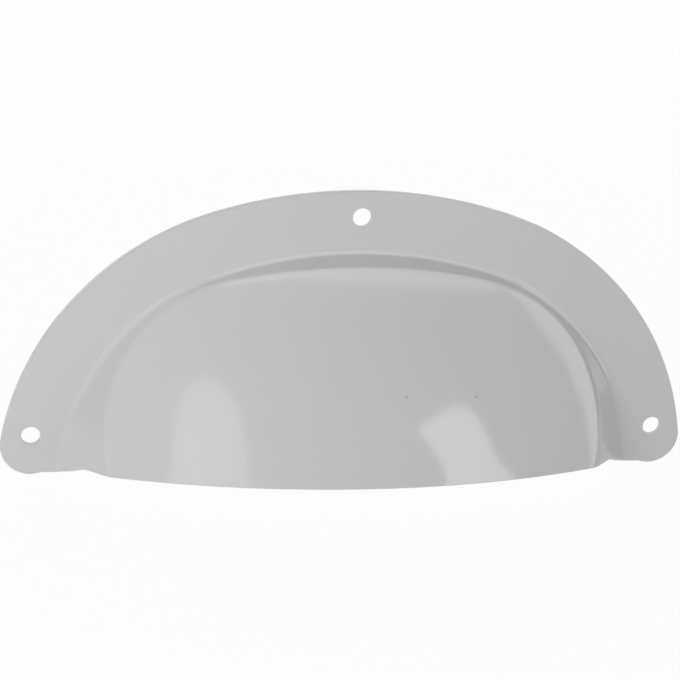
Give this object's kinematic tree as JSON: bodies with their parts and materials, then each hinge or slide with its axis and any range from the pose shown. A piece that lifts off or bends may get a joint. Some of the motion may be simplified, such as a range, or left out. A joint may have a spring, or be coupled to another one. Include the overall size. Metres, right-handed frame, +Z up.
{
  "type": "cup pull handle",
  "caption": "Half-moon cup pull for a drawer: a flat screw flange round a hood pressed from one sheet, open at the bottom for the fingers.",
  "frame": {"origin": "midway between the two ear screw holes, on the back plane that lies on the drawer front", "axes": "+X along the line of the ear screw holes, +Y into the drawer front, +Z up towards the top screw hole"},
  "size_m": [0.105, 0.0165, 0.0437],
  "materials": {
    "light_grey_paint": "semi-gloss light grey powder coat on steel"
  },
  "bodies": {
    "root": {"cup_shell": "light_grey_paint"}
  },
  "joints": []
}
